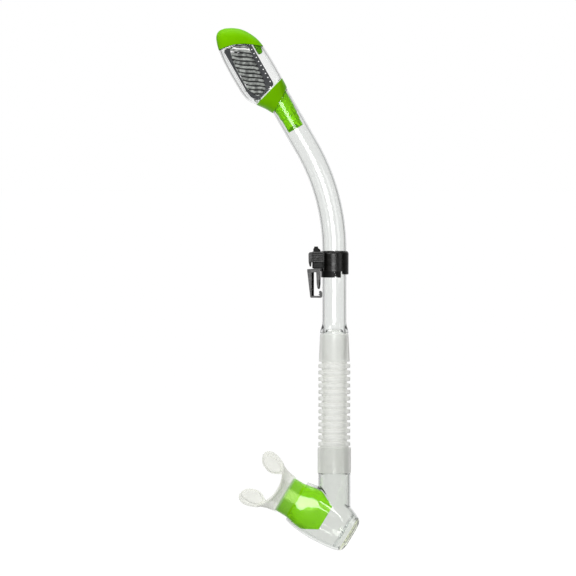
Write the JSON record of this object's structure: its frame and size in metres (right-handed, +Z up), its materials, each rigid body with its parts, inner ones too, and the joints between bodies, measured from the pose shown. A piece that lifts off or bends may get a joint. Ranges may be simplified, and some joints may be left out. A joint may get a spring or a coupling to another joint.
{
  "type": "snorkel tube",
  "caption": "Dry-top snorkel with a clear bent barrel, lime green valved head, black strap keeper, corrugated silicone hose, purge chamber and soft bite mouthpiece.",
  "frame": {"origin": "centre of the flat inner face of the strap hook, where the mask strap lies", "axes": "+Z up the straight part of the barrel, +X away from the mouthpiece side, which is also the strap face's outward normal, +Y to the back"},
  "size_m": [0.1288, 0.0368, 0.4703],
  "materials": {
    "barrel": "clear, polished",
    "head_base": "gloss",
    "head_housing": "clear, polished",
    "float_cage": "satin",
    "vent_grille_front": "satin",
    "vent_grille_back": "satin",
    "float": "satin",
    "float_seal": "matte",
    "head_cap": "gloss",
    "keeper_sleeve": "satin",
    "keeper_ring": "satin",
    "release_button": "satin",
    "strap_hook": "satin",
    "hose": "milky, satin",
    "purge_chamber": "clear, polished",
    "mouthpiece_adapter": "gloss",
    "mouthpiece": "milky, satin",
    "purge_seat": "clear",
    "purge_membrane": "milky, satin",
    "purge_cover": "tinted clear"
  },
  "bodies": {
    "tube": {"barrel": "barrel", "head_base": "head_base", "head_housing": "head_housing", "head_cap": "head_cap", "float_cage": "float_cage", "vent_grille_front": "vent_grille_front", "vent_grille_back": "vent_grille_back", "hose": "hose"},
    "float_unit": {"float": "float", "float_seal": "float_seal"},
    "sleeve": {"keeper_sleeve": "keeper_sleeve"},
    "keeper": {"keeper_ring": "keeper_ring"},
    "button": {"release_button": "release_button"},
    "hook": {"strap_hook": "strap_hook"},
    "lower": {"purge_chamber": "purge_chamber", "mouthpiece_adapter": "mouthpiece_adapter", "mouthpiece": "mouthpiece", "purge_seat": "purge_seat", "purge_cover": "purge_cover"},
    "membrane": {"purge_membrane": "purge_membrane"}
  },
  "joints": [
    {"name": "float_rise", "type": "slide", "parent": "tube", "child": "float_unit", "axis": [-0.5, 0, 0.866], "range_m": [0, 0.0042]},
    {"name": "keeper_slide", "type": "slide", "parent": "tube", "child": "sleeve", "axis": [0, 0, 1], "range_m": [-0.014, 0.003]},
    {"name": "keeper_turn", "type": "hinge", "parent": "sleeve", "child": "keeper", "pos_m": [0.0183, 0.0085, 0.0114], "axis": [0, 0, 1], "continuous": true},
    {"name": "hook_release", "type": "slide", "parent": "keeper", "child": "hook", "axis": [0, 0, 1], "range_m": [-0.01, 0]},
    {"name": "button_press", "type": "slide", "parent": "keeper", "child": "button", "axis": [0, 0, 1], "range_m": [-0.0015, 0], "stiffness_N_per_m": 400},
    {"name": "hose_flex", "type": "hinge", "parent": "tube", "child": "lower", "pos_m": [0.0183, 0.0085, -0.1079], "axis": [1, 0, 0], "range_deg": [-80, 80], "stiffness_Nm_per_rad": 0.15, "deforming": ["hose"]},
    {"name": "purge_lift", "type": "slide", "parent": "lower", "child": "membrane", "axis": [0.8572, 0, -0.515], "range_m": [0, 0.0012], "stiffness_N_per_m": 20}
  ]
}
